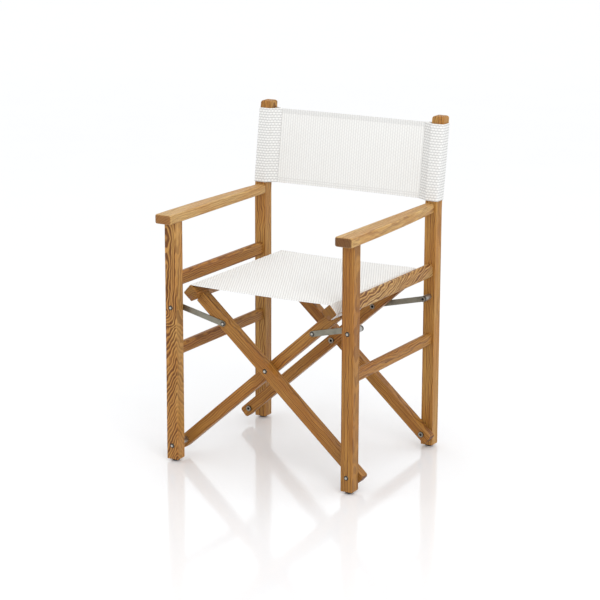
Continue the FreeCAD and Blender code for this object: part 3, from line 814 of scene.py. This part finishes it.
class CHAIR_OT_back_panel(bpy.types.Operator):
    """Back canvas between the two sleeves, hemmed above and below"""
    bl_idname = "chair.back_panel"
    bl_label = "Back Panel"

    def execute(self, context):
        settings = context.scene.chair_canvas
        rise, heights = back_rise(settings)
        hem = settings.hem
        tuck = 24 * MM                       # cloth that runs on inside each sleeve
        x = np.linspace(-SEAM - tuck, SEAM + tuck, 90)
        across, up = x[:, None], rise[None, :, 1]
        bow = back_bow(across, up)
        points = np.stack([np.broadcast_to(across, bow.shape), back_plane(up) + rise[None, :, 0] + bow,
                           np.broadcast_to(up, bow.shape)], -1)
        cloth = surface("back_cloth", points, (x - x[0], heights))
        thicken(cloth, settings.thickness)
        # the seams' heights get painted lines of shade along the stitched valleys
        cloth.data.materials.append(canvas_cloth(
            "back mesh", False, 0.34, 0.36, double=(heights[-1] - 2 * hem + 2 * MM, heights[-1]),
            seams=(2 * hem - 3 * MM, 2 * hem - 9 * MM)))
        rows = []
        for place in (PANEL_HIGH.z - hem + 3 * MM, PANEL_LOW.z + hem - 3 * MM, PANEL_LOW.z + hem - 7 * MM):
            for way_out in (-1, 1):
                row = sewn_row((-SEAM, 0, place), (SEAM, 0, place), settings.stitch_pitch, way_out)
                behind = max(way_out, 0) * 2 * fold_radius(settings)
                row[0][:, 1] = (back_plane(place) + back_bow(row[0][:, 0], place) + behind
                                + way_out * settings.thickness / 2)
                rows.append(row)
        seams = stitches("back_stitches", *joined(rows))
        seams.data.materials.append(thread_yarn("back thread", settings.thread))
        for piece in (cloth, seams):
            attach(piece, "left_side")
            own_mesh(piece)
        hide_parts("back_panel")
        return {"FINISHED"}


# ---- timber ----

def slat_way(mirror):
    """The way up a slat: mirror is 1 where it rises to the right, -1 where it rises to the left."""
    return Vector((mirror * cos(SLOPE), 0, sin(SLOPE)))


class CHAIR_OT_legs(bpy.types.Operator):
    """Front legs and rear posts"""
    bl_idname = "chair.legs"
    bl_label = "Legs and Posts"

    def execute(self, context):
        look = context.scene.chair_timber
        plain = (look.ring_pitch, look.wander, look.leg_light)
        bold = (look.bold_pitch, look.bold_wander, look.bold_light)
        pale = (look.ring_pitch, look.wander, look.post_light)
        # The heart comes close behind the front face at the upper bolt and leaves it below, so
        # that long arches stand over the bolt and slanting waves run down under it.
        arched = [(-0.33, 0.05, 0.135, -0.065), (0.04, 0.09, 0, -0.045), (0.09, 0.34, 0, 0.026)]
        calm_side = (1, 0, 0)
        hearts = {
            "front_leg_left": ((-0.135, 0.098, 0), (0, 0, 1), bold, 1.6, arched, calm_side),
            "front_leg_right": ((-0.070, 0.010, 0), (0.006, 0.004, 1), plain, 1.0, (), None),
            "rear_post_left": ((0.060, 0.020, 0), (0.004, 0.006, 1), pale, 0.9, (), None),
            "rear_post_right": ((-0.055, -0.030, 0), (-0.008, 0.01, 1), pale, 0.9, (), calm_side),
        }
        for node, (pith, way, (pitch, wander, light), contrast, swerve, calm) in hearts.items():
            paint(node, timber("leg wood " + node, middle(node), way, pith, pitch, wander, light,
                               look.leg_dark, contrast, swerve, calm, look.post_tops))
        return {"FINISHED"}


class CHAIR_OT_armrests(bpy.types.Operator):
    """Armrest boards, paler and with dark front ends"""
    bl_idname = "chair.armrests"
    bl_label = "Armrests"

    def execute(self, context):
        look = context.scene.chair_timber
        # paleness multiplies the colour of the cut ends, which took the oil unevenly.
        for node, pith, way, paleness in (
                ("armrest_left", (0.05, 0, -0.055), (0.01, 1, 0.012), 1.2),
                ("armrest_right", (-0.06, 0, -0.045), (-0.02, 1, 0.01), 0.68)):
            paint(node, timber("arm wood " + node, middle(node), way, pith, 1.3 * look.ring_pitch,
                               look.wander, look.arm_light, look.arm_dark, 0.7,
                               ends=[paleness * part for part in look.cut_ends]))
        return {"FINISHED"}


class CHAIR_OT_side_rails(bpy.types.Operator):
    """Upper and lower rails of the side frames"""
    bl_idname = "chair.side_rails"
    bl_label = "Side Rails"

    def execute(self, context):
        look = context.scene.chair_timber
        plain = (look.ring_pitch, look.wander, look.leg_light)
        zebra = (look.bold_pitch, 1.3 * look.bold_wander, look.arm_light)
        straight, steep = (0.012, 1, 0.02), (0.06, 1, 0.42)
        hearts = {
            "upper_side_rail_left": ((0.04, 0, 0.03), straight, plain, 1.0),
            "upper_side_rail_right": ((-0.05, -0.04, 0.09), steep, zebra, 1.6),
            "lower_side_rail_left": ((0.05, 0, 0.02), straight, plain, 0.9),
            "lower_side_rail_right": ((-0.05, 0, 0.03), straight, plain, 0.8),
        }
        for node, (pith, way, (pitch, wander, light), contrast) in hearts.items():
            paint(node, timber("rail wood " + node, middle(node), way, pith, pitch, wander, light,
                               look.leg_dark, contrast))
        return {"FINISHED"}


class CHAIR_OT_folding_frame(bpy.types.Operator):
    """Crossed slats and the seat rails on them"""
    bl_idname = "chair.folding_frame"
    bl_label = "Slats and Seat Rails"

    def execute(self, context):
        look = context.scene.chair_timber
        for place, depth in (("front", -1), ("rear", 1)):
            for letter, mirror in (("a", 1), ("b", -1)):
                node = f"slat_{place}_{letter}"
                way = slat_way(mirror)
                across = Vector((-way.z, 0, way.x))
                pith = across * 0.045 + Vector((0, 0.02 * depth, 0))
                paint(node, timber("slat wood " + node, middle(node), way + across * 0.008, pith,
                                   look.ring_pitch * (1 + 0.15 * mirror), look.wander,
                                   look.leg_light, look.leg_dark, 0.9))
        for side, mirror in (("left", 1), ("right", -1)):
            node = "seat_rail_" + side
            pith = (0.03 * mirror, 0, -0.05)
            paint(node, timber("rail wood " + node, middle(node), (0.01, 1, 0), pith, look.ring_pitch,
                               look.wander, look.leg_light, look.leg_dark, 0.9,
                               ends=look.rail_ends))
        return {"FINISHED"}


# ---- fittings ----

class CHAIR_OT_fittings(bpy.types.Operator):
    """Links, bolts, nuts, screws, dowels and glides"""
    bl_idname = "chair.fittings"
    bl_label = "Fittings"

    def execute(self, context):
        look = context.scene.chair_fittings
        looks = {
            "link_metal": plated_steel("link steel", look.link_steel, 0.34, 0.52, 0.05 * MM, (220, 900, 900)),
            "zinc_steel": plated_steel("zinc", look.zinc, 0.30, 0.5, 0.03 * MM),
            "bolt_steel": plated_steel("bolt nickel", look.bolt_steel, 0.16, 0.30, 0.02 * MM, rim_painted_shade=0.95),
            "glide_plastic": moulded_plastic("glide plastic black", look.plastic),
            "dowel_wood": timber("dowel beech", (0, 0, 0), (0, 1, 0), (0.1, 0, 0.1), 1.2 * MM, 2 * MM,
                                 look.dowel, [0.7 * part for part in look.dowel], 0.6),
        }
        for node, piece in NODES.items():
            slot = piece.material_slots[0].material.name
            if slot in looks:
                paint(node, looks[slot])
        for node in ("slat_nuts_left", "slat_nuts_right", "link_nuts_left", "link_nuts_right",
                     "centre_nuts", "link_inserts_a", "link_inserts_b"):
            spot = middle(node)
            paint(node, plated_steel("nickel " + node, look.nut_steel, 0.16, 0.30, 0.02 * MM,
                                     socket=(spot.x, spot.z, SOCKET_SHADE_RADIUS), rim_painted_shade=0.9))
        return {"FINISHED"}


# ---- studio ----

def area_light(name, power, width, place, aim):
    """A square light of a width at a place, turned to shine at aim."""
    lamp = bpy.data.lights.new(name, "AREA")
    lamp.energy = power
    lamp.size = width
    holder = bpy.data.objects.new(name, lamp)
    holder.location = place
    holder.rotation_euler = (Vector(aim) - Vector(place)).to_track_quat("-Z", "Y").to_euler()
    bpy.context.scene.collection.objects.link(holder)


def floor_finish(tone):
    """Pale semi-gloss floor with a very faint mottling."""
    pale = Recipe("pale floor")
    mottle = pale.noise(pale.coordinates(), scale=3.0, detail=3.0)
    colour = pale.blend(pale.span(mottle, 0.3, 0.7, 0.0, 0.04), tone, (0.7, 0.7, 0.7))
    pale.shader.inputs["Emission Color"].default_value = (*tone, 1.0)
    return pale.finish(colour, 0.10, specular_ior_level=0.65, emission_strength=0.06)


class CHAIR_OT_studio(bpy.types.Operator):
    """Floor, soft lights, white surround and camera"""
    bl_idname = "chair.studio"
    bl_label = "Studio"

    def execute(self, context):
        look = context.scene.chair_studio
        reach = np.linspace(-FLOOR_REACH, FLOOR_REACH, 3)
        points = np.stack(np.meshgrid(reach, reach, [0.0], indexing="ij"), -1)[:, :, 0]
        floor = surface("studio_floor", points)
        floor.data.materials.append(floor_finish(look.floor_tone))
        world = bpy.data.worlds.new("white surround")
        world.use_nodes = True
        world.node_tree.nodes["Background"].inputs["Color"].default_value = (1, 1, 1, 1)
        world.node_tree.nodes["Background"].inputs["Strength"].default_value = look.daylight
        context.scene.world = world
        context.scene.view_settings.view_transform = "Standard"
        area_light("key light", look.key_power, 1.8, (2.6, -2.4, 2.6), (0, 0, 0.45))
        area_light("top light", look.top_power, 2.2, (0, 0.2, 3.0), (0, 0, 0))
        lens = bpy.data.cameras.new("camera")
        lens.lens = look.lens
        lens.sensor_width = 36.0
        lens.clip_end = 100.0
        camera = bpy.data.objects.new("camera", lens)
        level = cos(look.elevation)
        back = Vector((sin(look.azimuth) * level, -cos(look.azimuth) * level, sin(look.elevation)))
        camera.location = Vector(look.aim) + look.distance * back
        facing = Euler((pi / 2 - look.elevation, 0, look.azimuth)).to_matrix()
        rolled = Euler((0, 0, look.roll)).to_matrix()
        camera.rotation_euler = (facing @ rolled).to_euler()
        context.scene.collection.objects.link(camera)
        context.scene.camera = camera
        return {"FINISHED"}


# ---- panel and registration ----

OPERATORS = (CHAIR_OT_legs, CHAIR_OT_armrests, CHAIR_OT_side_rails, CHAIR_OT_folding_frame,
             CHAIR_OT_fittings, CHAIR_OT_seat, CHAIR_OT_back_sleeves, CHAIR_OT_back_panel,
             CHAIR_OT_studio)
SETTINGS = {"chair_timber": TimberSettings, "chair_canvas": CanvasSettings,
            "chair_fittings": FittingSettings, "chair_studio": StudioSettings}


class CHAIR_PT_looks(bpy.types.Panel):
    """Lists the steps that dress the chair"""
    bl_idname = "CHAIR_PT_looks"
    bl_label = "Director Chair"
    bl_space_type = "VIEW_3D"
    bl_region_type = "UI"
    bl_category = "Chair"

    def draw(self, context):
        for step in OPERATORS:
            self.layout.operator(step.bl_idname)
        for holder, group in SETTINGS.items():
            box = self.layout.box()
            for name in group.__annotations__:
                box.prop(getattr(context.scene, holder), name)


def register():
    for group in (*SETTINGS.values(), *OPERATORS, CHAIR_PT_looks):
        bpy.utils.register_class(group)
    for holder, group in SETTINGS.items():
        setattr(bpy.types.Scene, holder, bpy.props.PointerProperty(type=group))


def unregister():
    for holder in SETTINGS:
        delattr(bpy.types.Scene, holder)
    for group in reversed((*SETTINGS.values(), *OPERATORS, CHAIR_PT_looks)):
        bpy.utils.unregister_class(group)


def main():
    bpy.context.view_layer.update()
    register()
    for step in OPERATORS:
        family, name = step.bl_idname.split(".")
        getattr(getattr(bpy.ops, family), name)()


if __name__ == "__main__":
    main()
